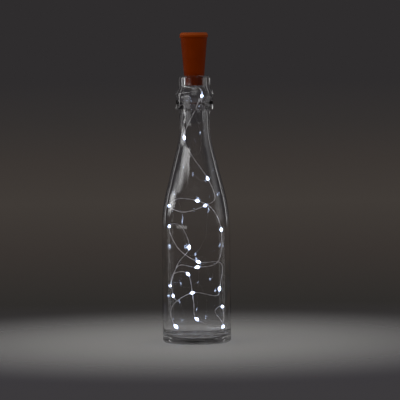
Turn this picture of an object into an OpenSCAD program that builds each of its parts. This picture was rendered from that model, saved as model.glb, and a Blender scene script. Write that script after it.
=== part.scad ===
// Cork bottle light: a clear glass bottle with a thick collar, and a cork-shaped battery light
// in its mouth, from which a fine wire string with small lamps in resin drops hangs inside.
// Millimetres. Z is up, and the origin is at the middle of the base, on the surface it stands on.

/* [Bottle] */
// Height of the glass
bottle_h = 263; // [250:1:275]
// Outside diameter of the body
body_d = 67.6; // [66:0.2:72]
// Thickness of the glass in the body and the shoulder
wall = 3.6; // [2.8:0.1:4]
// Outside diameter of the neck under the collar
neck_d = 30; // [29.4:0.2:32]
// Length of the straight neck under the collar
neck_l = 12.4; // [6:0.2:16]
// Radius of the rounded shoulder
shoulder_r = 165; // [150:1:180]
// Radius of the sweep from the shoulder up into the neck
sweep_r = 103; // [90:1:115]
// Lean of the shoulder from upright, in degrees
shoulder_lean = 14.3; // [13.4:0.1:15]
// Radius of the rounded heel
heel_r = 3.5; // [2.5:0.5:6]
// Width across the push-up under the base
punt_d = 48; // [40:1:54]
// Depth of the push-up
punt_h = 5; // [3:0.5:7]
// Thickness of the glass over the push-up
base_t = 4.5; // [3:0.5:6]
// Radius of the inside corner at the floor
corner_r = 9; // [5:0.5:12]

/* [Bottle mouth] */
// Outside diameter of the collar
collar_d = 36.6; // [35:0.2:39]
// Depth of the collar's ledge below the mouth
collar_drop = 33.4; // [30:0.2:36]
// Depth at which the collar reaches its full width
collar_flare = 18; // [16:0.5:21]
// Outside diameter of the lip
lip_d = 30.6; // [29.6:0.2:32]
// Depth of the straight lip
lip_drop = 9; // [7:0.5:11]
// Rounding of the lip's outer edge
lip_round = 2.2; // [1:0.1:2.8]
// Rounding of the mouth's inner edge
mouth_round = 1.2; // [0.6:0.1:1.6]
// Bore of the mouth
mouth_bore = 20.1; // [19.4:0.1:20.8]
// Widest bore inside the collar
collar_bore = 27.2; // [24:0.2:28.4]
// Narrowest bore at the throat under the collar
throat_bore = 21.2; // [20.4:0.2:22.4]

/* [Cork body] */
// Diameter of the cork just under its cap
cork_top_d = 26.2; // [25.6:0.1:27]
// Diameter of the cork's lower end
cork_end_d = 18; // [17.4:0.1:18.8]
// Length of the cork under its cap
cork_l = 47.3; // [46:0.1:52]
// Wall of the hollow cork
cork_wall = 1.6; // [1.2:0.1:1.7]
// Thickness of the cork's floor
cork_floor = 2; // [1.4:0.1:3]
// Rounding of the cork's lower edge
cork_round = 1.2; // [0.5:0.1:2]
// Bore of the wire's hole in the floor
wire_hole_d = 2.2; // [1.6:0.1:3]
// Width of the four guide ribs inside
rib_w = 1.2; // [0.8:0.1:1.6]
// Height of the guide ribs above the lower end
rib_top = 36; // [28:1:37]
// Gap between the cork and the mouth it is wedged in
cork_gap = 0.3; // [0.2:0.05:0.4]
// Height of the glue over the wire's hole
glue_h = 2.8; // [2:0.1:4]
// Width of the glue
glue_d = 6.8; // [5:0.2:8]

/* [Cap and switch] */
// Width of the cap's rim
cap_d = 28; // [27.6:0.1:30]
// Height of the cap
cap_h = 5; // [4.8:0.1:5.6]
// Height of the bevel round the cap's top
bevel_h = 2.9; // [1.5:0.1:3.6]
// Width of the bevel
bevel_w = 1.2; // [0.6:0.1:1.6]
// Depth of the finger recess over the switch
recess_h = 1.4; // [1:0.1:1.6]
// Thickness of the cap's wall over the switch
roof_t = 1.2; // [0.9:0.1:1.4]
// Length of the cap's spigot inside the cork
spigot_h = 2.6; // [1.5:0.1:3.5]
// Wall of the spigot
spigot_t = 0.9; // [0.7:0.1:1.2]
// Length of the slide switch
switch_l = 8.6; // [8.2:0.1:9]
// Width of the slide switch
switch_w = 4.4; // [4.2:0.1:5]
// Height of the slide switch
switch_h = 4.7; // [4.4:0.1:5]
// Travel of the switch's knob
switch_travel = 2; // [1.6:0.1:2.2]
// Width of the knob's grip
knob_l = 2; // [1.6:0.1:2.2]
// Spacing of the switch's three pins
pin_pitch = 2.5; // [2.2:0.1:2.6]
// Diameter of the screw's shank
screw_d = 1.7; // [1.4:0.1:1.8]
// Diameter of the screw's head
head_d = 3.4; // [3:0.1:3.4]
// Length of the screw's shank
screw_l = 8.6; // [7.5:0.1:9.6]
// Distance of the screw from the cork's axis
screw_off = 9.2; // [9.1:0.1:9.3]

/* [Battery core] */
// Diameter of a button cell
cell_d = 11.6; // [11:0.1:11.8]
// Height of a button cell
cell_h = 5.4; // [5:0.1:5.6]
// Clearance round the cells
cell_gap = 0.2; // [0.1:0.05:0.3]
// Wall of the cradle that holds the cells
cradle_t = 1.2; // [0.9:0.1:1.2]
// Width of the cradle's open side
window_w = 10; // [8:0.2:10.6]
// Height taken by the sprung contact
spring_h = 2.5; // [2.2:0.1:3]
// Thickness of the contact metal
metal_t = 0.3; // [0.2:0.05:0.4]
// Length of the circuit board
board_l = 12; // [11:0.1:12.2]
// Width of the circuit board
board_w = 10; // [9.4:0.1:10.4]
// Thickness of the circuit board
board_t = 1; // [0.8:0.1:1.2]

/* [Light string] */
// Diameter of the coated wire
wire_d = 0.7; // [0.5:0.05:0.9]
// Length of a resin drop
drop_l = 8; // [5:0.1:9]
// Width of a resin drop
drop_d = 2.8; // [2.4:0.1:3.2]
// Length of a lamp chip
chip_l = 1.6; // [1.2:0.1:2]
// Width of a lamp chip
chip_w = 0.8; // [0.6:0.05:1]
// Diameter of the leads inside the cork
lead_d = 0.5; // [0.4:0.05:0.6]

/* [Hidden] */
$fn = 96;

// Small play between pieces that rest on each other
play = 0.05;
// Clearance between moulded pieces that plug together
fit = 0.15;
// Radial clearance of the screw in its pilot hole
screw_fit = 0.05;
// How far a cut runs past the face it opens
past = 1;
// Steps along each curved stretch of an outline
steps = 8;

body_r = body_d / 2;
neck_r = neck_d / 2;
lean_s = sin(shoulder_lean);
lean_c = cos(shoulder_lean);
// Length of the straight slope between the shoulder's curve and the neck's sweep
slope_l = (body_r - neck_r - (shoulder_r + sweep_r) * (1 - lean_c)) / lean_s;
// Radius of the domed push-up
punt_r = (punt_d * punt_d / 4 + punt_h * punt_h) / (2 * punt_h);
ledge_z = bottle_h - collar_drop;
ledge_fillet = 0.8;
collar_edge = 1.2;
// Heights at which the straight neck begins and the straight wall of the body ends
neck_z = ledge_z - ledge_fillet - neck_l;
body_h = neck_z - (shoulder_r + sweep_r) * lean_s - slope_l * lean_c;
// Depths of the bore's widest and narrowest places
bulge_drop = (collar_drop + lip_drop) / 2;
throat_drop = collar_drop + 0.6;

cork_taper = (cork_top_d - cork_end_d) / 2 / cork_l;
// How deep the taper goes into the mouth before it is wedged
cork_in = mouth_round + (mouth_bore / 2 - cork_gap - cork_end_d / 2) / cork_taper;
cork_z = bottle_h - cork_in;
// Height of the cap's underside
core_z = cork_z + cork_l + play;

// Heights inside the core, counted from the cap's underside
cell_n = 3;
roof_z = cap_h - recess_h - roof_t;
switch_top = roof_z - play;
switch_z = switch_top - switch_h;
board_z = switch_z - play - board_t;
deck_t = 1.5;
deck_z = board_z - play - deck_t;
plus_z = deck_z - play - metal_t;
cells_top = plus_z - 2 * play;
cell_step = cell_h + play;
cells_z = cells_top - cell_n * cell_step + play;
minus_z = cells_z - spring_h;
cradle_z = minus_z - deck_t;
cradle_ri = cell_d / 2 + cell_gap;
cradle_r = cradle_ri + cradle_t;
arm_t = 1.8;
arm_w = 4;
arm_x = board_l / 2 + 0.4;
arm_top = 1.3;
// Where the contacts' tab and tail pass through the cradle
tab_y = board_w / 2 - 1.6;
tail_x = cradle_ri - 1.6;
tail_l = 1.6;
tail_w = 3;
tab_w = 2;
boss_r = 1.6;
boss_gap = 0.4;
boss_l = 9.1;
head_h = 1.2;
// Depth of the screw head's seat below the cap's top
seat_drop = head_h + 0.5;
frame_t = 0.3;
pin_w = 0.5;
pin_t = 0.4;
base_h = 1.2;
foot_l = 5.4;

// Resting places of the wire, from the hole in the cork to its free end, as it is laid in a
// bottle of these inner sizes. Each second point carries a lamp.
laid_r = 30.2;
laid_z = 253.15;
laid = [[0, 0, laid_z],
  [7, -4, 244], [-5, -5, 218], [-10.4, -1, 202], [-4, 5, 185], [12.5, 11, 161],
  [18.8, -8, 143], [9, -24, 136], [-11, -25, 130], [-26, -3, 135], [-18, 17, 141],
  [2, 25, 138], [17.5, 20, 130], [25, -2, 111], [21, -15, 81], [1, -26, 76],
  [-17, -20, 77], [-26, -2, 56], [-19, 18, 76], [-7, 26, 92], [-15, 22, 113],
  [-26, -4, 115], [-17, -16, 94], [2, -21, 81], [24, -9, 78], [23, 5, 52],
  [18, -16, 47], [-4, -27, 51], [-23, -16, 37], [-20, -15, 17], [0, -11, 9.2],
  [26, 0, 15], [19, 21, 28], [26, 8, 34], [23, -12, 17], [0, -27, 25],
  [-3, -23, 43], [-8, -21, 69], [-23, -9, 67], [-24, 13, 45], [-17, 16, 38]];
route_n = len(laid);
// The same places in this bottle
wide = (body_r - wall) / laid_r;
high = cork_z / laid_z;
route = [for (p = laid) [p.x * wide, p.y * wide, p.z * high]];
lamp_n = 20;
rings_per_span = 2;
wire_sides = 8;

// The two leads rise from the glue, counted from the cork's lower end
plus_route = [[-0.7, 0, cork_floor + glue_h - 0.6], [-2, 1, 8], [-4, 2.5, 14], [-7, 3.4, 19],
  [-8.3, 3.2, 25], [-8.9, 3.4, 33], [-8.7, 3.8, 39], [-7.6, 4.5, 42.5],
  [-(board_l / 2 + 0.75), 4.4, cork_l + board_z + 0.4]];
minus_route = [[0.7, 0, cork_floor + glue_h - 0.6], [2.4, -1, 8], [4.6, -2.4, 11.5],
  [5.8, -1.4, 15], [5, -0.3, 17.5], [tail_x, 0, cork_l + cradle_z - tail_l - 0.4]];

function unit(v) = v / norm(v);

// Points of a round stretch: centre c, radius r, from angle a to angle b
function arc(c, r, a, b, n = steps) =
  [for (i = [0:n]) let (t = a + (b - a) * i / n) [c.x + r * cos(t), c.y + r * sin(t)]];

// Points of a gentle S from p to q, upright at both ends
function ease(p, q, n = steps) =
  [for (i = [0:n]) let (t = i / n) [p.x + (q.x - p.x) * (1 - cos(180 * t)) / 2,
    p.y + (q.y - p.y) * t]];

// Point on the smooth curve through pts, in span i at fraction t
function on_curve(pts, i, t) =
  let (p0 = pts[max(i - 1, 0)], p1 = pts[i], p2 = pts[i + 1], p3 = pts[min(i + 2, len(pts) - 1)])
  0.5 * (2 * p1 + (p2 - p0) * t + (2 * p0 - 5 * p1 + 4 * p2 - p3) * t * t
    + (3 * p1 - p0 - 3 * p2 + p3) * t * t * t);

function curve(pts, per_span) = concat(
  [for (i = [0:len(pts) - 2]) for (k = [0:per_span - 1]) on_curve(pts, i, k / per_span)],
  [pts[len(pts) - 1]]);

// Directions along a curve's points; the first one is given
function headings(c, first) = [for (i = [0:len(c) - 1])
  i == 0 ? first : unit(c[min(i + 1, len(c) - 1)] - c[i - 1])];

// A side direction at each point, turned as little as can be from one to the next
function sides(d) = [for (i = 0, s = unit(cross(d[0], [0.3, 1, 0.2])); i < len(d);
  i = i + 1, s = i < len(d) ? unit(s - (s * d[i]) * d[i]) : s) s];

module tube(c, first, d, n) {
  h = headings(c, first);
  s = sides(h);
  m = len(c);
  points = [for (i = [0:m - 1]) let (q = cross(h[i], s[i])) for (k = [0:n - 1])
    c[i] + d / 2 * (cos(360 * k / n) * s[i] + sin(360 * k / n) * q)];
  faces = concat([[for (k = [0:n - 1]) k]],
    [for (i = [0:m - 2]) for (k = [0:n - 1]) let (l = (k + 1) % n)
      for (f = [0, 1]) f == 0 ? [i * n + k, (i + 1) * n + k, (i + 1) * n + l]
        : [i * n + k, (i + 1) * n + l, i * n + l]],
    [[for (k = [n - 1:-1:0]) (m - 1) * n + k]]);
  polyhedron(points = points, faces = faces, convexity = 6);
}

// Puts its children at p with their Z axis along v
module along(p, v) {
  translate(p) rotate([0, acos(v.z), atan2(v.y, v.x)]) children();
}

module box(size, at) {
  translate([at.x - size.x / 2, at.y - size.y / 2, at.z]) cube(size);
}

// A strip of metal, t thick and w wide, bent along points in the XZ plane
module bent_strip(pts, t, w) {
  m = len(pts);
  dirs = [for (i = [0:m - 2]) unit(pts[i + 1] - pts[i])];
  across = [for (i = [0:m - 1]) let (a = dirs[max(i - 1, 0)], b = dirs[min(i, m - 2)],
    n = unit([-a.y - b.y, a.x + b.x])) n / max(0.5, n * [-b.y, b.x])];
  edge = [for (i = [0:m - 1]) pts[i] + t / 2 * across[i]];
  back = [for (i = [m - 1:-1:0]) pts[i] - t / 2 * across[i]];
  rotate([90, 0, 0]) linear_extrude(height = w, center = true) polygon(concat(edge, back));
}

function body_outline() = concat(
  arc([0, punt_h - punt_r], punt_r, 90, 90 - asin(punt_d / 2 / punt_r)),
  arc([body_r - heel_r, heel_r], heel_r, -90, 0),
  arc([body_r - shoulder_r, body_h], shoulder_r, 0, shoulder_lean),
  arc([neck_r + sweep_r, neck_z], sweep_r, 180 + shoulder_lean, 180));

function collar_outline() = concat(
  arc([neck_r + ledge_fillet, ledge_z - ledge_fillet], ledge_fillet, 180, 90, 4),
  arc([collar_d / 2 - collar_edge, ledge_z + collar_edge], collar_edge, -90, 0, 4),
  ease([collar_d / 2, bottle_h - collar_flare], [lip_d / 2, bottle_h - lip_drop]),
  arc([lip_d / 2 - lip_round, bottle_h - lip_round], lip_round, 0, 90, 5));

function bore_outline() = concat(
  arc([mouth_bore / 2 + mouth_round, bottle_h - mouth_round], mouth_round, 90, 180, 4),
  ease([mouth_bore / 2, bottle_h - lip_drop - 1], [collar_bore / 2, bottle_h - bulge_drop]),
  ease([collar_bore / 2, bottle_h - bulge_drop], [throat_bore / 2, bottle_h - throat_drop]),
  ease([throat_bore / 2, bottle_h - throat_drop], [neck_r - wall, neck_z], 5));

function inner_outline() = let (floor_r = punt_r + base_t, edge = body_r - wall - corner_r,
  edge_z = punt_h - punt_r + sqrt(floor_r * floor_r - edge * edge)) concat(
  arc([neck_r + sweep_r, neck_z], sweep_r + wall, 180, 180 + shoulder_lean),
  arc([body_r - shoulder_r, body_h], shoulder_r - wall, shoulder_lean, 0),
  arc([edge, edge_z + corner_r], corner_r, 0, -90),
  arc([0, punt_h - punt_r], floor_r, 90 - asin(edge / floor_r), 90));

module bottle() {
  color([0.86, 0.92, 0.93, 0.35]) rotate_extrude()
    polygon(concat(body_outline(), collar_outline(), bore_outline(), inner_outline()));
}

// Radius of the cork's outside at height z above its lower end
function cork_r(z) = cork_end_d / 2 + cork_taper * z;

module cork_solid(less, from, to) {
  translate([0, 0, from])
    cylinder(h = to - from, r1 = cork_r(from) - less, r2 = cork_r(to) - less);
}

module cork_skin() {
  rotate_extrude() polygon(concat([[0, 0]],
    arc([cork_r(cork_round) - cork_round, cork_round], cork_round, -90, 0, 5),
    [[cork_r(cork_l), cork_l], [0, cork_l]]));
}

// Four guide ribs inside the cork, cut back to clear the cradle
module guide_ribs() {
  intersection() {
    cork_solid(cork_wall - 0.4, cork_floor - 0.4, rib_top);
    difference() {
      for (a = [45:90:315]) rotate([0, 0, a])
        box([cork_top_d / 2, rib_w, rib_top], [cork_top_d / 4, 0, 0]);
      cylinder(h = rib_top + past, r = cradle_r + 2 * fit);
    }
  }
}

module screw_boss() {
  boss_z = cork_l - boss_gap - boss_l;
  translate([0, screw_off, boss_z]) cylinder(h = boss_l, r = boss_r);
  intersection() {
    box([2 * boss_r, cork_top_d / 2, boss_l], [0, screw_off + cork_top_d / 4, boss_z]);
    cork_solid(cork_wall - 0.4, boss_z, cork_l - boss_gap);
  }
}

module cork_shell() {
  pilot_z = cork_l - boss_l + 1;
  color("peru") translate([0, 0, cork_z]) difference() {
    union() {
      difference() {
        cork_skin();
        cork_solid(cork_wall, cork_floor, cork_l + past);
      }
      guide_ribs();
      screw_boss();
    }
    translate([0, 0, -past]) cylinder(h = cork_floor + 2 * past, d = wire_hole_d);
    translate([0, screw_off, pilot_z]) cylinder(h = boss_l, r = screw_d / 2 + screw_fit);
  }
}

module glue_plug() {
  dome_r = (glue_d * glue_d / 4 + glue_h * glue_h) / (2 * glue_h);
  color("ivory") translate([0, 0, cork_z]) rotate_extrude() polygon(concat(
    [[0, 0], [wire_hole_d / 2 - play, 0], [wire_hole_d / 2 - play, cork_floor]],
    arc([0, cork_floor + glue_h - dome_r], dome_r, asin(1 - glue_h / dome_r), 90)));
}

module cap_skin() {
  rim = cap_d / 2;
  edge = 0.5;
  rotate_extrude() polygon(concat([[0, 0]],
    arc([rim - edge, edge], edge, -90, 0, 4),
    [[rim, cap_h - bevel_h], [rim - 0.4 * bevel_w, cap_h - 0.5 * bevel_h]],
    arc([rim - bevel_w - edge, cap_h - edge], edge, 15, 90, 4),
    [[0, cap_h]]));
}

module spigot() {
  outer = cork_r(cork_l - spigot_h) - cork_wall - fit;
  difference() {
    translate([0, 0, -spigot_h]) cylinder(h = spigot_h + 0.5, r = outer);
    translate([0, 0, -spigot_h - past]) cylinder(h = spigot_h + 2 * past, r = outer - spigot_t);
    box([2 * boss_r + 2, cap_d, spigot_h + past], [0, cap_d / 2 + boss_r, -spigot_h - past]);
  }
}

module finger_recess() {
  recess_w = 6;
  reach = (switch_l + 2.4 - recess_w) / 2;
  for (x = [-reach, reach]) translate([x, 0, cap_h - recess_h])
    cylinder(h = recess_h + past, d = recess_w);
  box([2 * reach, recess_w, recess_h + past], [0, 0, cap_h - recess_h]);
}

module top_cap() {
  stroke = knob_l + switch_travel + 0.6;
  color("chocolate") translate([0, 0, core_z]) difference() {
    union() {
      cap_skin();
      spigot();
    }
    finger_recess();
    box([switch_l + 0.4, switch_w + 0.4, roof_z + past], [0, 0, -past]);
    box([stroke, knob_l + 0.1, cap_h], [0, 0, 0]);
    for (x = [-1, 1]) box([arm_t + 2 * fit, arm_w + 2 * fit, arm_top + 0.2 + past],
      [x * (arm_x + arm_t / 2), 0, -past]);
    translate([0, screw_off, -past]) cylinder(h = cap_h + past, d = screw_d + 0.3);
    translate([0, screw_off, cap_h - seat_drop]) cylinder(h = seat_drop + past, d = head_d + 0.4);
  }
}

module battery_cradle() {
  whole_h = deck_z + deck_t - cradle_z;
  slot_h = deck_t + 2 * past;
  color("ghostwhite") translate([0, 0, core_z]) difference() {
    union() {
      translate([0, 0, cradle_z]) cylinder(h = whole_h, r = cradle_r);
      box([2 * (arm_x + arm_t), arm_w, deck_t], [0, 0, deck_z]);
      for (x = [-1, 1]) box([arm_t, arm_w, arm_top - deck_z], [x * (arm_x + arm_t / 2), 0, deck_z]);
    }
    translate([0, 0, minus_z]) cylinder(h = deck_z - minus_z, r = cradle_ri);
    box([window_w, cradle_r, deck_z - minus_z], [0, -cradle_r / 2 - 1, minus_z]);
    box([2 * pin_pitch + 1.6, 1.6, slot_h], [0, 0, deck_z - past]);
    box([tab_w + 0.4, metal_t + 0.4, slot_h], [0, tab_y, deck_z - past]);
    box([metal_t + 0.4, tail_w + 0.4, slot_h], [tail_x, 0, cradle_z - past]);
  }
}

module cell(k) {
  low = cells_top - k * cell_step + play;
  rim = 0.4;
  foot = 0.7;
  color("silver") translate([0, 0, core_z + low]) rotate_extrude() polygon(concat(
    [[0, 0], [cell_d * 0.4, 0], [cell_d * 0.4, foot]],
    arc([cell_d / 2 - rim, foot + rim], rim, -90, 0, 4),
    arc([cell_d / 2 - rim, cell_h - rim], rim, 0, 90, 4), [[0, cell_h]]));
}

module upper_cell() { cell(1); }
module middle_cell() { cell(2); }
module lower_cell() { cell(3); }

module positive_contact() {
  color("gainsboro") translate([0, 0, core_z]) union() {
    box([7, 7.6, metal_t], [0, 0, plus_z]);
    box([tab_w, metal_t, board_z - 2 * play - plus_z], [0, tab_y, plus_z]);
  }
}

module negative_contact() {
  low = minus_z + play + metal_t / 2;
  tip = cells_z - 2 * play - metal_t / 2;
  color("gainsboro") translate([0, 0, core_z]) bent_strip([[tail_x, cradle_z - tail_l],
    [tail_x, low], [-3.4, low], [-4.2, low + 0.5], [-3.6, low + 1], [0.6, tip],
    [2.6, tip - 0.6]], metal_t, tail_w);
}

module circuit_board() {
  color("seagreen") translate([0, 0, core_z + board_z]) difference() {
    box([board_l, board_w, board_t], [0, 0, 0]);
    for (x = [-1:1]) translate([x * pin_pitch, 0, -past])
      cylinder(h = board_t + 2 * past, d = pin_w + 0.4);
  }
}

module series_resistor() {
  color("dimgray") translate([0, 0, core_z])
    box([2, 1.25, 0.5], [0, board_w / 2 - 1.3, board_z + board_t + play]);
}

module switch_frame() {
  color("lightgray") translate([0, 0, core_z + switch_z]) difference() {
    box([switch_l, switch_w, switch_h], [0, 0, 0]);
    box([switch_l - 2 * frame_t, switch_w - 2 * frame_t, switch_h - frame_t + past], [0, 0, -past]);
    box([knob_l + switch_travel + 0.4, knob_l, switch_h + past], [0, 0, 0]);
  }
}

module switch_base() {
  inset = frame_t + play;
  color("saddlebrown") translate([0, 0, core_z + switch_z]) difference() {
    box([switch_l - 2 * inset, switch_w - 2 * inset, base_h], [0, 0, 0]);
    for (x = [-1:1]) box([pin_w + 0.1, pin_t + 0.1, base_h + 2 * past],
      [x * pin_pitch, 0, -past]);
  }
}

module switch_pins() {
  top = switch_z + base_h + 0.15;
  color("gold") translate([0, 0, core_z]) for (x = [-1:1])
    box([pin_w, pin_t, top - deck_z - 0.3], [x * pin_pitch, 0, deck_z + 0.3]);
}

module switch_contact() {
  color("gold") translate([switch_travel / 2, 0, core_z + switch_z + base_h + 0.25])
    box([foot_l - 1, 1.6, 0.25], [0, 0, 0]);
}

// The knob rests at the lit end of its travel
module switch_knob() {
  foot_z = switch_z + base_h + 0.55;
  foot_top = switch_top - frame_t - 0.3;
  color("black") translate([switch_travel / 2, 0, core_z]) difference() {
    union() {
      box([foot_l, switch_w - 1.2, foot_top - foot_z], [0, 0, foot_z]);
      box([knob_l, knob_l - 0.5, cap_h - 0.3 - foot_z], [0, 0, foot_z]);
    }
    for (x = [-1, 1]) box([0.3, knob_l, 0.3], [x * knob_l / 4, 0, cap_h - 0.5]);
  }
}

module retaining_screw() {
  seat = cap_h - seat_drop + play;
  tip = 1;
  color("silver") translate([0, screw_off, core_z + seat]) difference() {
    union() {
      cylinder(h = head_h, d = head_d);
      translate([0, 0, tip - screw_l]) cylinder(h = screw_l - tip, d = screw_d);
      translate([0, 0, -screw_l]) cylinder(h = tip, d1 = 0.4, d2 = screw_d);
    }
    for (a = [0, 90]) rotate([0, 0, a]) box([2, 0.45, 1], [0, 0, head_h - 0.6]);
  }
}

module positive_lead() {
  color("firebrick") translate([0, 0, cork_z]) tube(curve(plus_route, 2), [0, 0, 1], lead_d, 8);
}

module negative_lead() {
  color("dimgray") translate([0, 0, cork_z]) tube(curve(minus_route, 2), [0, 0, 1], lead_d, 8);
}

module string_wire() {
  color("darkkhaki") tube(curve(route, rings_per_span), [0, 0, -1], wire_d, wire_sides);
}

// Places its children at each lamp, with their Z axis along the wire
module at_lamps() {
  for (k = [0:lamp_n - 1]) let (i = 2 * k + 1,
    v = unit(route[min(i + 1, route_n - 1)] - route[i - 1])) along(route[i], v) children();
}

module led_chips() {
  chip_t = 0.5;
  color("lightyellow") at_lamps()
    box([chip_t, chip_w, chip_l], [wire_d / 2 + 0.02 + chip_t / 2, 0, -chip_l / 2]);
}

module resin_drops() {
  bulge = drop_d / 2;
  half = drop_l / 2;
  sweep = (half * half + bulge * bulge) / (2 * bulge);
  reach = asin(half / sweep);
  color([0.95, 0.97, 1, 0.6]) at_lamps() rotate_extrude($fn = 32)
    polygon(arc([bulge - sweep, 0], sweep, -reach, reach, 6));
}

bottle();
cork_shell();
glue_plug();
top_cap();
battery_cradle();
upper_cell();
middle_cell();
lower_cell();
positive_contact();
negative_contact();
circuit_board();
series_resistor();
switch_frame();
switch_base();
switch_pins();
switch_knob();
switch_contact();
retaining_screw();
positive_lead();
negative_lead();
string_wire();
led_chips();
resin_drops();
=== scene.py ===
import math

import bpy
from mathutils import Matrix, Vector


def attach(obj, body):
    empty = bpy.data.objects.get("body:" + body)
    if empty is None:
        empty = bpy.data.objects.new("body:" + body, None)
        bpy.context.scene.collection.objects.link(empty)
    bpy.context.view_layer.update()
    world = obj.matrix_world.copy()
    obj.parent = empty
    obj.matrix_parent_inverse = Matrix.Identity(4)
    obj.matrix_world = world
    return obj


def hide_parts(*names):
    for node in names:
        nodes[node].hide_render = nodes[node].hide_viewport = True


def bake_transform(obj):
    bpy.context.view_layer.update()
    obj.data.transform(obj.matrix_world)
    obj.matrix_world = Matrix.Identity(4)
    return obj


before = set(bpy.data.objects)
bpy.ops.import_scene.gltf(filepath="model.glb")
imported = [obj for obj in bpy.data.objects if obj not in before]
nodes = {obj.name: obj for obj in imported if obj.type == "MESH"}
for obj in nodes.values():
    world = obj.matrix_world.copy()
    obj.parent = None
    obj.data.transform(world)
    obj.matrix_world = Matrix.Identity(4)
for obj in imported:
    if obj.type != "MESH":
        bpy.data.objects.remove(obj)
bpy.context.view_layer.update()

mm = 0.001
print("frame loaded:", len(nodes), "nodes")


# Shared helpers

def linear(hexColour):
    # sRGB hex to the linear RGBA that Blender's sockets take
    values = [int(hexColour[i:i + 2], 16) / 255 for i in (1, 3, 5)]
    return [v / 12.92 if v <= 0.04045 else ((v + 0.055) / 1.055) ** 2.4 for v in values] + [1.0]


def addNode(tree, kind, settings=None, inputs=None):
    # one node with its settings and inputs; an input that is a socket gets linked
    node = tree.nodes.new(kind)
    for name, value in (settings or {}).items():
        setattr(node, name, value)
    for name, value in (inputs or {}).items():
        if isinstance(value, bpy.types.NodeSocket):
            tree.links.new(value, node.inputs[name])
        else:
            node.inputs[name].default_value = value
    return node


def newMaterial(name):
    material = bpy.data.materials.new(name)
    material.use_nodes = True
    material.node_tree.nodes.clear()
    return material, material.node_tree


def showShader(tree, shader):
    addNode(tree, "ShaderNodeOutputMaterial", inputs={"Surface": shader})


def newPiece(name, vertices, faces, material=None, smooth=True):
    mesh = bpy.data.meshes.new(name)
    mesh.from_pydata([tuple(v) for v in vertices], [], faces)
    mesh.validate()
    mesh.polygons.foreach_set("use_smooth", [smooth] * len(mesh.polygons))
    piece = bpy.data.objects.new(name, mesh)
    bpy.context.scene.collection.objects.link(piece)
    if material:
        mesh.materials.append(material)
    return piece


# Camera: 3 m from the bottle and as high as its cap, looking down by 3 degrees, with a long lens

camera = {
    "distance": 3.0,
    "height": 0.301,
    "aimX": 0.0044,  # the bottle stands a little left of the picture's middle
    "aimZ": 0.1404,
    "roll": -0.0108,  # the picture leans by this, in radians
    "focalPixels": 3045.7,
    "pictureWidth": 400,
    "sensor": 36,
}


def makeCamera(c):
    data = bpy.data.cameras.new("camera")
    data.sensor_width = c["sensor"]
    data.lens = c["focalPixels"] / c["pictureWidth"] * c["sensor"]
    data.clip_start, data.clip_end = 0.1, 50
    viewer = bpy.data.objects.new("camera", data)
    place = Vector((0, -c["distance"], c["height"]))
    look = (Vector((c["aimX"], 0, c["aimZ"])) - place).to_track_quat("-Z", "Y").to_matrix().to_4x4()
    viewer.matrix_world = Matrix.Translation(place) @ look @ Matrix.Rotation(c["roll"], 4, "Z")
    bpy.context.scene.collection.objects.link(viewer)
    bpy.context.scene.camera = viewer


makeCamera(camera)
print("camera placed")


# Light string: a pair of fine lacquered wires that hangs from the cork in loose loops

string = {
    # resting places of the wire from the cork's hole to its free end, in mm; every second
    # one carries a lamp
    "route": [
        (0, 0, 253.147), (7, -4, 244), (-5, -5, 218), (-10.4, -1, 202), (-4, 5, 185),
        (12.5, 11, 161), (18.8, -8, 143), (9, -24, 136), (-11, -25, 130), (-26, -3, 135),
        (-18, 17, 141), (2, 25, 138), (17.5, 20, 130), (25, -2, 111), (21, -15, 81),
        (1, -26, 76), (-17, -20, 77), (-26, -2, 56), (-19, 18, 76), (-7, 26, 92),
        (-15, 22, 113), (-26, -4, 115), (-17, -16, 94), (2, -21, 81), (24, -9, 78),
        (23, 5, 52), (18, -16, 47), (-4, -27, 51), (-23, -16, 37), (-20, -15, 17),
        (0, -11, 9.2), (26, 0, 15), (19, 21, 28), (26, 8, 34), (23, -12, 17),
        (0, -27, 25), (-3, -23, 43), (-8, -21, 69), (-23, -9, 67), (-24, 13, 45),
        (-17, 16, 38),
    ],
    "strand": 0.34 * mm,  # diameter of one lacquered wire
    "apart": 0.36 * mm,  # between the two wires' middles
    "twistPitch": 16 * mm,
    "ringsPerSpan": 20,
    "sides": 8,
    "diameter": 0.7 * mm,  # across the pair
    "bendFrom": 205 * mm,  # the lower of two heights on the wire
    "bendTo": 241 * mm,
}


def onCurve(points, i, t):
    p0, p1, p2 = points[max(i - 1, 0)], points[i], points[i + 1]
    p3 = points[min(i + 2, len(points) - 1)]
    return 0.5 * (2 * p1 + (p2 - p0) * t + (2 * p0 - 5 * p1 + 4 * p2 - p3) * t * t
                  + (3 * p1 - p0 - 3 * p2 + p3) * t * t * t)


def smoothRoute(points, perSpan):
    points = [Vector(p) * mm for p in points]
    line = [onCurve(points, i, k / perSpan) for i in range(len(points) - 1) for k in range(perSpan)]
    return line + [points[-1]]


def turnedFrames(line, firstHeading):
    # heading and side at each point, the side turned as little as can be from point to point
    headings = [firstHeading] + [(line[min(i + 1, len(line) - 1)] - line[i - 1]).normalized()
                                 for i in range(1, len(line))]
    side = headings[0].cross(Vector((0.3, 1, 0.2))).normalized()
    frames = []
    for heading in headings:
        side = (side - side.dot(heading) * heading).normalized()
        frames.append((heading, side))
    return frames


def tubeMesh(line, frames, radius, sides, vertices, faces):
    # adds one closed tube to the lists
    start = len(vertices)
    for point, (heading, side) in zip(line, frames):
        other = heading.cross(side)
        for k in range(sides):
            a = 2 * math.pi * k / sides
            vertices.append(point + radius * (math.cos(a) * side + math.sin(a) * other))
    rings = len(line)
    for i in range(rings - 1):
        for k in range(sides):
            a, b = start + i * sides + k, start + i * sides + (k + 1) % sides
            faces.append((a, b, b + sides, a + sides))
    faces.append(tuple(start + k for k in reversed(range(sides))))
    faces.append(tuple(start + (rings - 1) * sides + k for k in range(sides)))


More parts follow.
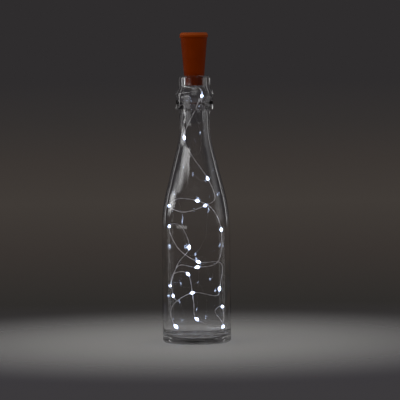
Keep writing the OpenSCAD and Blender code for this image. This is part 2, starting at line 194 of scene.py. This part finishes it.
def pairOfWires(name, line, firstHeading, s):
    frames = turnedFrames(line, firstHeading)
    along, turned = 0.0, []
    for i, (heading, side) in enumerate(frames):
        if i:
            along += (line[i] - line[i - 1]).length
        a = 2 * math.pi * along / s["twistPitch"]
        turned.append(math.cos(a) * side + math.sin(a) * heading.cross(side))
    vertices, faces = [], []
    for sign in (-1, 1):
        strand = [p + sign * s["apart"] / 2 * t for p, t in zip(line, turned)]
        tubeMesh(strand, frames, s["strand"] / 2, s["sides"], vertices, faces)
    return newPiece(name, vertices, faces)


stringLine = smoothRoute(string["route"], string["ringsPerSpan"])
stringWire = pairOfWires("stringWire", stringLine, Vector((0, 0, -1)), string)


# Materials

def coatedWire():
    # drawn wire of tinned copper under clear lacquer: bright in the light, a little uneven
    material, tree = newMaterial("lacqueredTinnedWire")
    place = addNode(tree, "ShaderNodeTexCoord")
    # the lacquer's thickness changes about every 4 mm
    noise = addNode(tree, "ShaderNodeTexNoise", inputs={
        "Vector": place.outputs["Object"], "Scale": 250.0, "Detail": 2.0})
    tone = addNode(tree, "ShaderNodeMix", {"data_type": "RGBA"}, {
        0: noise.outputs[0], 6: linear("#DCD6D8"), 7: linear("#FAF6F8")})
    shader = addNode(tree, "ShaderNodeBsdfPrincipled", inputs={
        "Base Color": tone.outputs[2], "Metallic": 0.3, "Roughness": 0.5,
        "Coat Weight": 0.6, "Coat Roughness": 0.15, "Coat IOR": 1.5})
    showShader(tree, shader.outputs[0])
    return material


def clearGlass():
    # flint container glass, moulded and fire polished: colourless, glossy, faintly wavy
    material, tree = newMaterial("flintContainerGlass")
    place = addNode(tree, "ShaderNodeTexCoord")
    # mould waves about 30 mm long, too shallow to see but for the bend in a reflection
    waves = addNode(tree, "ShaderNodeTexNoise", inputs={
        "Vector": place.outputs["Object"], "Scale": 32.0, "Detail": 1.0})
    bump = addNode(tree, "ShaderNodeBump", inputs={
        "Height": waves.outputs[0], "Strength": 0.12, "Distance": 0.002})
    glass = addNode(tree, "ShaderNodeBsdfPrincipled", inputs={
        "Base Color": linear("#FAFAFB"), "Roughness": 0.0, "IOR": 1.52,
        "Transmission Weight": 1.0, "Normal": bump.outputs[0]})
    # light reaches the wire and the cork inside through the wall
    clear = addNode(tree, "ShaderNodeBsdfTransparent", inputs={"Color": linear("#F4F4F6")})
    path = addNode(tree, "ShaderNodeLightPath")
    mix = addNode(tree, "ShaderNodeMixShader", inputs={
        0: path.outputs["Is Shadow Ray"], 1: glass.outputs[0], 2: clear.outputs[0]})
    showShader(tree, mix.outputs[0])
    return material


paintedTopEdgeLight = {"colour": "#934219", "from": 302.4 * mm, "full": 303.2 * mm}  # the cap's paler top edge: a painted highlight where light from above falls on it


def corkPlastic(name, base, light, edge=None):
    # moulded ABS coloured like a burnt cork: satin, with a fine spark-eroded grain
    material, tree = newMaterial(name)
    place = addNode(tree, "ShaderNodeTexCoord")
    # soft colour drift over about 12 mm, as the pigment flows in the mould
    drift = addNode(tree, "ShaderNodeTexNoise", inputs={
        "Vector": place.outputs["Object"], "Scale": 85.0, "Detail": 3.0})
    tone = addNode(tree, "ShaderNodeMix", {"data_type": "RGBA"}, {
        0: drift.outputs[0], 6: linear(base), 7: linear(light)})
    if edge:
        # painted highlight: the top edge is made paler where light from above falls on it
        xyz = addNode(tree, "ShaderNodeSeparateXYZ", inputs={0: place.outputs["Object"]})
        share = addNode(tree, "ShaderNodeMapRange", {"interpolation_type": "SMOOTHSTEP"}, {
            "Value": xyz.outputs[2], "From Min": edge["from"], "From Max": edge["full"]})
        tone = addNode(tree, "ShaderNodeMix", {"data_type": "RGBA"}, {
            0: share.outputs[0], 6: tone.outputs[2], 7: linear(edge["colour"])})
    # grain of 0.5 mm, drawn coarser than the real 0.1 mm so that it shows
    grain = addNode(tree, "ShaderNodeTexNoise", inputs={
        "Vector": place.outputs["Object"], "Scale": 2000.0, "Detail": 2.0})
    bump = addNode(tree, "ShaderNodeBump", inputs={
        "Height": grain.outputs[0], "Strength": 0.18, "Distance": 0.0002})
    rough = addNode(tree, "ShaderNodeMapRange", inputs={
        "Value": drift.outputs[0], "To Min": 0.55, "To Max": 0.66})
    shader = addNode(tree, "ShaderNodeBsdfPrincipled", inputs={
        "Base Color": tone.outputs[2], "Roughness": rough.outputs[0], "IOR": 1.45,
        "Specular IOR Level": 0.06, "Specular Tint": linear("#FF7A38"),
        "Normal": bump.outputs[0]})
    showShader(tree, shader.outputs[0])
    return material


lampLight = {"resinTip": 0.05, "resinMiddle": 6.0, "chip": 8.0}  # strengths of what shines


def lampResin():
    # clear epoxy dripped over the lamp: it carries the chip's light, less and less to its tips
    material, tree = newMaterial("clearLampResin")
    glow = addNode(tree, "ShaderNodeAttribute", {"attribute_name": "glow"})
    strength = addNode(tree, "ShaderNodeMapRange", inputs={
        "Value": glow.outputs["Fac"], "To Min": lampLight["resinTip"],
        "To Max": lampLight["resinMiddle"]})
    shader = addNode(tree, "ShaderNodeBsdfPrincipled", inputs={
        "Base Color": linear("#F4F8FF"), "Roughness": 0.06, "IOR": 1.5,
        "Transmission Weight": 0.7, "Emission Color": linear("#C4D8FF"),
        "Emission Strength": strength.outputs[0]})
    showShader(tree, shader.outputs[0])
    return material


def litChip():
    # white light diode with its phosphor lit
    material, tree = newMaterial("litDiodePhosphor")
    shader = addNode(tree, "ShaderNodeBsdfPrincipled", inputs={
        "Base Color": linear("#FFF6D0"), "Roughness": 0.4, "IOR": 1.5,
        "Emission Color": linear("#E0ECFF"), "Emission Strength": lampLight["chip"]})
    showShader(tree, shader.outputs[0])
    return material


def plainFinish(name, base, other, scale, roughness, metallic=0.0, ior=1.5, bumpDepth=0.0001):
    # one finish for the small inner pieces: two close tones in a fine pattern and a light bump
    material, tree = newMaterial(name)
    place = addNode(tree, "ShaderNodeTexCoord")
    noise = addNode(tree, "ShaderNodeTexNoise", inputs={
        "Vector": place.outputs["Object"], "Scale": scale, "Detail": 3.0})
    tone = addNode(tree, "ShaderNodeMix", {"data_type": "RGBA"}, {
        0: noise.outputs[0], 6: linear(base), 7: linear(other)})
    bump = addNode(tree, "ShaderNodeBump", inputs={
        "Height": noise.outputs[0], "Strength": 0.15, "Distance": bumpDepth})
    shader = addNode(tree, "ShaderNodeBsdfPrincipled", inputs={
        "Base Color": tone.outputs[2], "Metallic": metallic, "Roughness": roughness,
        "Normal": bump.outputs[0]})
    if metallic == 0:
        shader.inputs["IOR"].default_value = ior
    showShader(tree, shader.outputs[0])
    return material


wireMaterial = coatedWire()
glassMaterial = clearGlass()
corkMaterial = corkPlastic("mouldedAbsCork", "#621E00", "#702600")
# the cap is the same plastic as the cork: its lighter tones are painted light from above, and its
# top edge gets a painted highlight
capMaterial = corkPlastic("mouldedAbsCap", "#6C2300", "#7C2D00", paintedTopEdgeLight)
resinMaterial = lampResin()
chipMaterial = litChip()
# natural polypropylene, moulded: milky white and a little waxy
whitePlastic = plainFinish("mouldedWhitePolypropylene", "#DAD9D3", "#E6E5E0", 400, 0.45)
# nickel-plated pressed steel: soft grey shine
nickelSteel = plainFinish("nickelPlatedSteel", "#B9B8B4", "#CBCAC6", 900, 0.3, metallic=1.0)
# sprung brass strip, rolled
brassStrip = plainFinish("rolledBrass", "#B89A55", "#CBB070", 900, 0.32, metallic=1.0)
# glass-fibre board under green solder resist
boardResist = plainFinish("solderResistBoard", "#1E5A30", "#256B3A", 700, 0.35)
# black acetal, moulded
blackPlastic = plainFinish("mouldedBlackAcetal", "#17171A", "#202023", 700, 0.4)
# pressed phenolic paper, matt brown
phenolicPaper = plainFinish("phenolicPaper", "#5A3418", "#6C4322", 800, 0.6)
# extruded vinyl sleeve on the leads
redSleeve = plainFinish("redVinylSleeve", "#9C1C16", "#B0281E", 500, 0.35)
blackSleeve = plainFinish("blackVinylSleeve", "#1B1B1C", "#262627", 500, 0.35)
# hot-melt glue, set: cloudy amber white
meltGlue = plainFinish("hotMeltGlue", "#CFC5A4", "#DED6BA", 300, 0.4)
print("materials made")


# Bottle: blown clear glass, one wall turned round the axis

bottle = {
    "height": 263 * mm,
    "bodyRadius": 33.8 * mm,
    "wall": 3.6 * mm,
    "neckLength": 12.4 * mm,
    "neckRadius": 15 * mm,
    "shoulderRadius": 165 * mm,
    "sweepRadius": 103 * mm,
    "lean": 14.3,
    "heelRadius": 3.5 * mm,
    "puntWidth": 48 * mm,
    "puntHeight": 5 * mm,
    "baseThickness": 4.5 * mm,
    "cornerRadius": 9 * mm,
    "collarRadius": 18.3 * mm,
    "collarDrop": 33.4 * mm,
    "collarFlare": 18 * mm,
    "collarEdge": 1.2 * mm,
    "ledgeFillet": 0.8 * mm,
    "lipRadius": 15.3 * mm,
    "lipDrop": 9 * mm,
    "lipRound": 2.2 * mm,
    "mouthRound": 1.2 * mm,
    "mouthRadius": 10.05 * mm,
    "bulgeRadius": 13.6 * mm,
    "throatRadius": 10.6 * mm,
    "throatDrop": 0.6 * mm,  # from the ledge down to the throat
    "boreEnd": 1 * mm,  # the mouth's straight bore ends this far below the lip
    "facets": 192,
    "endRing": 0.3 * mm,
}


def arcPoints(cx, cy, r, start, end, count=24):
    return [(cx + r * math.cos(math.radians(start + (end - start) * i / count)),
             cy + r * math.sin(math.radians(start + (end - start) * i / count)))
            for i in range(count + 1)]


def easePoints(p, q, count=24):
    return [(p[0] + (q[0] - p[0]) * (1 - math.cos(math.pi * i / count)) / 2,
             p[1] + (q[1] - p[1]) * i / count) for i in range(count + 1)]


def withEndRings(points, ringGap):
    # drops doubled points, and gives each long straight run a ring close to either end, so that
    # it shades as straight
    kept = [points[0]]
    for p in points[1:]:
        last, run = kept[-1], math.dist(p, kept[-1])
        if run > 8 * ringGap:
            kept += [tuple(a + (b - a) * share for a, b in zip(last, p))
                     for share in (ringGap / run, 1 - ringGap / run)]
        if run > ringGap / 15:
            kept.append(p)
    return kept


def bottleOutline(b):
    leanSin, leanCos = math.sin(math.radians(b["lean"])), math.cos(math.radians(b["lean"]))
    slope = (b["bodyRadius"] - b["neckRadius"]
             - (b["shoulderRadius"] + b["sweepRadius"]) * (1 - leanCos)) / leanSin
    puntR = (b["puntWidth"] ** 2 / 4 + b["puntHeight"] ** 2) / (2 * b["puntHeight"])
    top, ledge = b["height"], b["height"] - b["collarDrop"]
    neckZ = ledge - b["ledgeFillet"] - b["neckLength"]
    bodyZ = neckZ - (b["shoulderRadius"] + b["sweepRadius"]) * leanSin - slope * leanCos
    bulge, throat = top - (b["collarDrop"] + b["lipDrop"]) / 2, ledge - b["throatDrop"]
    floorR = puntR + b["baseThickness"]
    edge = b["bodyRadius"] - b["wall"] - b["cornerRadius"]
    edgeZ = b["puntHeight"] - puntR + math.sqrt(floorR ** 2 - edge ** 2)
    domeZ = b["puntHeight"] - puntR
    sweepX = b["neckRadius"] + b["sweepRadius"]
    puntAngle = math.degrees(math.asin(b["puntWidth"] / 2 / puntR))
    points = arcPoints(0, domeZ, puntR, 90, 90 - puntAngle)
    points += arcPoints(b["bodyRadius"] - b["heelRadius"], b["heelRadius"], b["heelRadius"], -90, 0)
    points += arcPoints(b["bodyRadius"] - b["shoulderRadius"], bodyZ,
                        b["shoulderRadius"], 0, b["lean"])
    points += arcPoints(sweepX, neckZ, b["sweepRadius"], 180 + b["lean"], 180)
    points += arcPoints(b["neckRadius"] + b["ledgeFillet"], ledge - b["ledgeFillet"],
                        b["ledgeFillet"], 180, 90, 8)
    points += arcPoints(b["collarRadius"] - b["collarEdge"], ledge + b["collarEdge"],
                        b["collarEdge"], -90, 0, 8)
    points += easePoints((b["collarRadius"], top - b["collarFlare"]),
                         (b["lipRadius"], top - b["lipDrop"]))
    points += arcPoints(b["lipRadius"] - b["lipRound"], top - b["lipRound"], b["lipRound"],
                        0, 90, 10)
    points += arcPoints(b["mouthRadius"] + b["mouthRound"], top - b["mouthRound"],
                        b["mouthRound"], 90, 180, 8)
    points += easePoints((b["mouthRadius"], top - b["lipDrop"] - b["boreEnd"]),
                         (b["bulgeRadius"], bulge), 16)
    points += easePoints((b["bulgeRadius"], bulge), (b["throatRadius"], throat), 16)
    points += easePoints((b["throatRadius"], throat), (b["neckRadius"] - b["wall"], neckZ), 10)
    points += arcPoints(sweepX, neckZ, b["sweepRadius"] + b["wall"], 180, 180 + b["lean"])
    points += arcPoints(b["bodyRadius"] - b["shoulderRadius"], bodyZ,
                        b["shoulderRadius"] - b["wall"], b["lean"], 0)
    points += arcPoints(edge, edgeZ + b["cornerRadius"], b["cornerRadius"], 0, -90)
    points += arcPoints(0, domeZ, floorR, 90 - math.degrees(math.asin(edge / floorR)), 90)
    return withEndRings(points, b["endRing"])


def turned(name, outline, facets, material):
    # outline starts and ends on the axis
    vertices = [(0, 0, outline[0][1])]
    for r, z in outline[1:-1]:
        for k in range(facets):
            a = 2 * math.pi * k / facets
            vertices.append((r * math.cos(a), r * math.sin(a), z))
    vertices.append((0, 0, outline[-1][1]))
    rings, last = len(outline) - 2, len(vertices) - 1
    faces = []
    for k in range(facets):
        l = (k + 1) % facets
        faces.append((0, 1 + l, 1 + k))
        for i in range(rings - 1):
            a = 1 + i * facets
            faces.append((a + k, a + l, a + facets + l, a + facets + k))
        a = 1 + (rings - 1) * facets
        faces.append((a + k, a + l, last))
    return newPiece(name, vertices, faces, material)


glassBottle = turned("glassBottle", bottleOutline(bottle), bottle["facets"], glassMaterial)
print("bottle turned:", len(glassBottle.data.polygons), "faces")


# Lamps: a diode chip on the wire in a drop of clear resin, about every 50 mm

lamp = {
    "dropLength": 8 * mm,
    "dropWidth": 2.8 * mm,
    "chipLength": 1.6 * mm,
    "chipWidth": 0.8 * mm,
    "chipHeight": 0.5 * mm,
    "chipLift": 0.62 * mm,  # from the wire's middle to the chip's middle
    "unevenness": 0.12,  # how much the hand-made drops differ
    "seed": 7,
    "taper": 1.4,  # how fast a drop slims towards its tips
    "glowFall": 5.0,  # how fast the light in it fades towards them
}


def lampPoints(route):
    # one vertex per lamp, with the wire's heading there as an attribute
    points = [Vector(p) * mm for p in route]
    at = range(1, len(points), 2)
    mesh = bpy.data.meshes.new("lampPoints")
    mesh.from_pydata([tuple(points[i]) for i in at], [], [])
    heading = mesh.attributes.new("heading", "FLOAT_VECTOR", "POINT")
    for k, i in enumerate(at):
        heading.data[k].vector = (points[min(i + 1, len(points) - 1)] - points[i - 1]).normalized()
    piece = bpy.data.objects.new("lampPoints", mesh)
    bpy.context.scene.collection.objects.link(piece)
    return piece


def newTree(name, sizes):
    tree = bpy.data.node_groups.new(name, "GeometryNodeTree")
    tree.interface.new_socket("Geometry", in_out="INPUT", socket_type="NodeSocketGeometry")
    for size in sizes:
        tree.interface.new_socket(size, in_out="INPUT", socket_type="NodeSocketFloat")
    tree.interface.new_socket("Geometry", in_out="OUTPUT", socket_type="NodeSocketGeometry")
    return tree, addNode(tree, "NodeGroupInput")


def placedOnWire(tree, given, shape, scale, material):
    # puts the shape on each point with its Z axis along the wire
    heading = addNode(tree, "GeometryNodeInputNamedAttribute", {"data_type": "FLOAT_VECTOR"},
                      {"Name": "heading"})
    turn = addNode(tree, "FunctionNodeAlignRotationToVector", {"axis": "Z"},
                   {"Vector": heading.outputs[0]})
    points = addNode(tree, "GeometryNodeInstanceOnPoints", inputs={
        "Points": given.outputs["Geometry"], "Instance": shape,
        "Rotation": turn.outputs[0], "Scale": scale})
    real = addNode(tree, "GeometryNodeRealizeInstances", inputs={"Geometry": points.outputs[0]})
    smooth = addNode(tree, "GeometryNodeSetShadeSmooth", inputs={0: real.outputs[0]})
    painted = addNode(tree, "GeometryNodeSetMaterial", inputs={
        "Geometry": smooth.outputs[0], "Material": material})
    addNode(tree, "NodeGroupOutput", inputs={0: painted.outputs[0]})


def dropTree(material):
    tree, given = newTree("resinDrops", ("Length", "Width", "Unevenness", "Seed"))
    ball = addNode(tree, "GeometryNodeMeshUVSphere", inputs={
        "Segments": 24, "Rings": 18, "Radius": 1.0})
    place = addNode(tree, "GeometryNodeInputPosition")
    xyz = addNode(tree, "ShaderNodeSeparateXYZ", inputs={0: place.outputs[0]})
    # a drop is drawn out along the wire: its width falls off as (1 - z^2)^(taper + 0.5)
    square = addNode(tree, "ShaderNodeMath", {"operation": "MULTIPLY"},
                     {0: xyz.outputs[2], 1: xyz.outputs[2]})
    left = addNode(tree, "ShaderNodeMath", {"operation": "SUBTRACT", "use_clamp": True},
                   {0: 1.0, 1: square.outputs[0]})
    slim = addNode(tree, "ShaderNodeMath", {"operation": "POWER"},
                   {0: left.outputs[0], 1: lamp["taper"]})
    across = addNode(tree, "ShaderNodeMath", {"operation": "MULTIPLY"},
                     {0: slim.outputs[0], 1: given.outputs["Width"]})
    halfAcross = addNode(tree, "ShaderNodeMath", {"operation": "MULTIPLY"},
                         {0: across.outputs[0], 1: 0.5})
    halfLong = addNode(tree, "ShaderNodeMath", {"operation": "MULTIPLY"},
                       {0: given.outputs["Length"], 1: 0.5})
    factor = addNode(tree, "ShaderNodeCombineXYZ", inputs={
        0: halfAcross.outputs[0], 1: halfAcross.outputs[0], 2: halfLong.outputs[0]})
    size = addNode(tree, "ShaderNodeVectorMath", {"operation": "MULTIPLY"},
                   {0: place.outputs[0], 1: factor.outputs[0]})
    # the light in it falls off towards its tips
    glow = addNode(tree, "ShaderNodeMath", {"operation": "POWER"},
                   {0: left.outputs[0], 1: lamp["glowFall"]})
    marked = addNode(tree, "GeometryNodeStoreNamedAttribute",
                     {"data_type": "FLOAT", "domain": "POINT"},
                     {"Geometry": ball.outputs[0], "Name": "glow", "Value": glow.outputs[0]})
    drop = addNode(tree, "GeometryNodeSetPosition", inputs={
        "Geometry": marked.outputs[0], "Position": size.outputs[0]})
    less = addNode(tree, "ShaderNodeMath", {"operation": "SUBTRACT"},
                   {0: 1.0, 1: given.outputs["Unevenness"]})
    seed = addNode(tree, "FunctionNodeFloatToInt", inputs={0: given.outputs["Seed"]})
    uneven = addNode(tree, "FunctionNodeRandomValue", {"data_type": "FLOAT"}, {
        "Seed": seed.outputs[0]})
    tree.links.new(less.outputs[0], uneven.inputs[2])
    uneven.inputs[3].default_value = 1.0
    placedOnWire(tree, given, drop.outputs[0], uneven.outputs[1], material)
    return tree


def chipTree(material):
    tree, given = newTree("lampChips", ("Length", "Width", "Height", "Lift"))
    size = addNode(tree, "ShaderNodeCombineXYZ", inputs={
        0: given.outputs["Height"], 1: given.outputs["Width"], 2: given.outputs["Length"]})
    block = addNode(tree, "GeometryNodeMeshCube", inputs={"Size": size.outputs[0]})
    lift = addNode(tree, "ShaderNodeCombineXYZ", inputs={0: given.outputs["Lift"]})
    chip = addNode(tree, "GeometryNodeTransform", inputs={
        "Geometry": block.outputs[0], "Translation": lift.outputs[0]})
    placedOnWire(tree, given, chip.outputs[0], (1.0, 1.0, 1.0), material)
    return tree


def grown(name, tree, values):
    # runs the tree on the lamp points and keeps the result as a plain mesh
    holder = lampPoints(string["route"])
    modifier = holder.modifiers.new("tree", "NODES")
    modifier.node_group = tree
    for socket in tree.interface.items_tree:
        if socket.in_out == "INPUT" and socket.name in values:
            modifier[socket.identifier] = float(values[socket.name])
    seen = holder.evaluated_get(bpy.context.evaluated_depsgraph_get())
    mesh = bpy.data.meshes.new_from_object(seen)
    mesh.name = name
    holder.modifiers.remove(modifier)
    bpy.data.objects.remove(holder)
    piece = bpy.data.objects.new(name, mesh)
    bpy.context.scene.collection.objects.link(piece)
    return piece


resinDrops = grown("resinDrops", dropTree(resinMaterial), {
    "Length": lamp["dropLength"], "Width": lamp["dropWidth"],
    "Unevenness": lamp["unevenness"], "Seed": lamp["seed"]})
lampChips = grown("lampChips", chipTree(chipMaterial), {
    "Length": lamp["chipLength"], "Width": lamp["chipWidth"],
    "Height": lamp["chipHeight"], "Lift": lamp["chipLift"]})
print("lamps made:", len(resinDrops.data.polygons), "and", len(lampChips.data.polygons), "faces")


# Leads inside the cork

leads = {
    "corkEnd": 253.147,  # height of the cork's lower end, in mm
    "plus": [(-0.7, 0, 4.2), (-2, 1, 8), (-4, 2.5, 14), (-7, 3.4, 19), (-8.3, 3.2, 25),
             (-8.9, 3.4, 33), (-8.7, 3.8, 39), (-7.6, 4.5, 42.5), (-6.75, 4.4, 44.3)],
    "minus": [(0.7, 0, 4.2), (2.4, -1, 8), (4.6, -2.4, 11.5), (5.8, -1.4, 15), (5, -0.3, 17.5),
              (4.4, 0, 19.6)],
    "diameter": 0.5 * mm,
    "ringsPerSpan": 8,
    "sides": 12,
    "bendFrom": 259 * mm,
    "bendTo": 272 * mm,
}


def lead(name, points, material):
    line = smoothRoute([(x, y, z + leads["corkEnd"]) for x, y, z in points],
                       leads["ringsPerSpan"])
    vertices, faces = [], []
    frames = turnedFrames(line, Vector((0, 0, 1)))
    tubeMesh(line, frames, leads["diameter"] / 2, leads["sides"], vertices, faces)
    return newPiece(name, vertices, faces, material)


plusLead = lead("plusLead", leads["plus"], redSleeve)
minusLead = lead("minusLead", leads["minus"], blackSleeve)
print("leads made")


# Finishes of the solids that stay as they are

nodeFinish = {
    "cork_shell": corkMaterial,
    "top_cap": capMaterial,
    "glue_plug": meltGlue,
    "battery_cradle": whitePlastic,
    "upper_cell": nickelSteel,
    "middle_cell": nickelSteel,
    "lower_cell": nickelSteel,
    "positive_contact": brassStrip,
    "negative_contact": brassStrip,
    "circuit_board": boardResist,
    "series_resistor": blackPlastic,
    "switch_frame": nickelSteel,
    "switch_base": phenolicPaper,
    "switch_pins": brassStrip,
    "switch_knob": blackPlastic,
    "switch_contact": brassStrip,
    "retaining_screw": nickelSteel,
}
for nodeName, finish in nodeFinish.items():
    nodes[nodeName].data.materials.clear()
    nodes[nodeName].data.materials.append(finish)
stringWire.data.materials.append(wireMaterial)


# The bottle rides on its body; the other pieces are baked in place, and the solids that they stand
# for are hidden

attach(glassBottle, "bottle")
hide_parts("bottle")

for piece, node, slot in ((stringWire, "string_wire", "coated_wire"),
                          (resinDrops, "resin_drops", "resin"),
                          (lampChips, "led_chips", "lamp")):
    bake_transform(piece)
    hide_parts(node)

for piece, node, slot in ((plusLead, "positive_lead", "red_sleeve"),
                          (minusLead, "negative_lead", "black_sleeve")):
    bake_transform(piece)
    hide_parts(node)

# Floor, backdrop and light

studio = {
    "floorRadius": 0.38,
    "floorFade": 0.05,  # the floor runs out softly from here
    "floorColour": "#B2B0AD",
    "backdrop": ((0.0, "#3C3A3C"), (0.13, "#3B393D"), (0.25, "#2F2D2B"), (0.38, "#393431"),
                 (0.5, "#403B37"), (0.6, "#3B3633"), (0.7, "#343130"), (0.8, "#2F2D2E")),
    "backdropFrom": -0.12,  # sines of the lowest and highest angle that it spans
    "backdropTo": 0.012,
    "fillStrength": 0.35,
}

# each light panel: its middle, where it looks, how far it leans in its own plane (degrees), its
# width and height, its brightness, and the share of them over which it runs out at each edge
panels = {
    "sidePanel": {"at": (-1.0, 0.19, 0.335), "aim": (0, 0.19), "lean": 14, "size": (0.58, 0.24),
                  "radiance": 3.2, "soft": (0.2, 0.25)},
    "highPanel": {"at": (-1.0, -0.78, 0.865), "aim": (0, -0.78), "lean": 20.7,
                  "size": (1.6, 0.34), "radiance": 3.2, "soft": (0.08, 0.12)},
    "lowPanel": {"at": (-2.68, -2.25, 0.155), "aim": (0, 0), "lean": 0, "size": (2.8, 0.2),
                 "radiance": 1.5, "soft": (0.15, 0.3)},
    "backLeftStrip": {"at": (-0.77, 0.92, 0.38), "aim": (0, 0), "lean": 0, "size": (0.06, 0.64),
                      "radiance": 0.9, "soft": (0.3, 0.1)},
    "backRightStrip": {"at": (0.77, 0.92, 0.38), "aim": (0, 0), "lean": 0, "size": (0.06, 0.64),
                       "radiance": 1.1, "soft": (0.3, 0.1)},
    "lowLeftStrip": {"at": (-1.1, 0.32, 0), "aim": (0, 0), "lean": 0, "size": (0.14, 0.24),
                     "radiance": 1.0, "soft": (0.4, 0.2)},
    "lowRightStrip": {"at": (1.1, 0.32, 0), "aim": (0, 0), "lean": 0, "size": (0.12, 0.24),
                      "radiance": 1.0, "soft": (0.4, 0.2)},
    "rightPanel": {"at": (1.1, 0.05, 0.36), "aim": (0, 0.05), "lean": 0, "size": (0.8, 0.5),
                   "radiance": 0.45, "soft": (0.3, 0.2)},
    "frontPanel": {"at": (0, -1.0, 1.3), "aim": (0, 0), "lean": 0, "size": (1.6, 0.7),
                   "radiance": 1.2, "soft": (0.3, 0.3)},
}


def pathShare(tree, names):
    # 1 for the kinds of ray that are named
    path = addNode(tree, "ShaderNodeLightPath")
    share = path.outputs[names[0]]
    for name in names[1:]:
        share = addNode(tree, "ShaderNodeMath", {"operation": "MAXIMUM"},
                        {0: share, 1: path.outputs[name]}).outputs[0]
    return share


def makeFloor(s):
    rings, sides = 24, 96
    vertices = [(0, 0, 0)] + [
        (s["floorRadius"] * i / rings * math.cos(2 * math.pi * k / sides),
         s["floorRadius"] * i / rings * math.sin(2 * math.pi * k / sides), 0)
        for i in range(1, rings + 1) for k in range(sides)]
    faces = [(0, 1 + k, 1 + (k + 1) % sides) for k in range(sides)]
    faces += [(1 + (i - 1) * sides + k, 1 + i * sides + k, 1 + i * sides + (k + 1) % sides,
               1 + (i - 1) * sides + (k + 1) % sides)
              for i in range(1, rings) for k in range(sides)]
    material, tree = newMaterial("palePaper")
    place = addNode(tree, "ShaderNodeTexCoord")
    away = addNode(tree, "ShaderNodeVectorMath", {"operation": "LENGTH"},
                   {0: place.outputs["Object"]})
    fade = addNode(tree, "ShaderNodeMapRange", {"interpolation_type": "SMOOTHSTEP"}, {
        "Value": away.outputs[1], "From Min": s["floorFade"], "From Max": s["floorRadius"]})
    paper = addNode(tree, "ShaderNodeBsdfPrincipled", inputs={
        "Base Color": linear(s["floorColour"]), "Roughness": 0.7})
    gone = addNode(tree, "ShaderNodeBsdfTransparent")
    mix = addNode(tree, "ShaderNodeMixShader", inputs={
        0: fade.outputs[0], 1: paper.outputs[0], 2: gone.outputs[0]})
    showShader(tree, mix.outputs[0])
    floor = newPiece("floor", vertices, faces, material)


def makeBackdrop(s):
    # the world is the dark backdrop where it is seen, and the soft fill light where it isn't
    world = bpy.data.worlds.new("studio")
    bpy.context.scene.world = world
    world.use_nodes = True
    tree = world.node_tree
    tree.nodes.clear()
    seen = pathShare(tree, ("Is Camera Ray", "Is Glossy Ray", "Is Transmission Ray"))
    place = addNode(tree, "ShaderNodeTexCoord")
    xyz = addNode(tree, "ShaderNodeSeparateXYZ", inputs={0: place.outputs["Generated"]})
    height = addNode(tree, "ShaderNodeMapRange", inputs={
        "Value": xyz.outputs[2], "From Min": s["backdropFrom"], "From Max": s["backdropTo"]})
    shade = addNode(tree, "ShaderNodeValToRGB", inputs={0: height.outputs[0]})
    ramp = shade.color_ramp.elements
    while len(ramp) < len(s["backdrop"]):
        ramp.new(0.5)
    for stop, (at, colour) in zip(ramp, s["backdrop"]):
        stop.position, stop.color = at, linear(colour)
    backdrop = addNode(tree, "ShaderNodeBackground", inputs={
        "Color": shade.outputs[0], "Strength": 1.0})
    fill = addNode(tree, "ShaderNodeBackground", inputs={
        "Color": linear("#FFFFFF"), "Strength": s["fillStrength"]})
    mix = addNode(tree, "ShaderNodeMixShader", inputs={
        0: seen, 1: fill.outputs[0], 2: backdrop.outputs[0]})
    addNode(tree, "ShaderNodeOutputWorld", inputs={"Surface": mix.outputs[0]})


def lightPanel(name, panel):
    # a flat light that runs out softly at its edges and looks level at its aim
    width, height = panel["size"]
    data = bpy.data.lights.new(name, "AREA")
    data.shape = "RECTANGLE"
    data.size, data.size_y = width, height
    data.energy = panel["radiance"] * math.pi * width * height
    data.use_nodes = True
    tree = data.node_tree
    tree.nodes.clear()
    place = addNode(tree, "ShaderNodeNewGeometry")
    across = addNode(tree, "ShaderNodeSeparateXYZ", inputs={0: place.outputs["Parametric"]})
    strength = 1.0
    for axis, soft in enumerate(panel["soft"]):
        edge = addNode(tree, "ShaderNodeMath", {"operation": "PINGPONG"},
                       {0: across.outputs[axis], 1: 0.5})
        fade = addNode(tree, "ShaderNodeMapRange", {"interpolation_type": "SMOOTHSTEP"},
                       {"Value": edge.outputs[0], "From Max": soft})
        strength = addNode(tree, "ShaderNodeMath", {"operation": "MULTIPLY"},
                           {0: fade.outputs[0], 1: strength}).outputs[0]
    glow = addNode(tree, "ShaderNodeEmission", inputs={"Strength": strength})
    addNode(tree, "ShaderNodeOutputLight", inputs={"Surface": glow.outputs[0]})
    light = bpy.data.objects.new(name, data)
    level = Vector((panel["aim"][0] - panel["at"][0], panel["aim"][1] - panel["at"][1], 0))
    light.matrix_world = (Matrix.Translation(panel["at"])
                          @ level.to_track_quat("-Z", "Y").to_matrix().to_4x4()
                          @ Matrix.Rotation(math.radians(panel["lean"]), 4, "Z"))
    bpy.context.scene.collection.objects.link(light)


makeFloor(studio)
makeBackdrop(studio)
for panelName, panelSizes in panels.items():
    lightPanel(panelName, panelSizes)
bpy.context.scene.view_settings.view_transform = "Standard"
print("studio set")
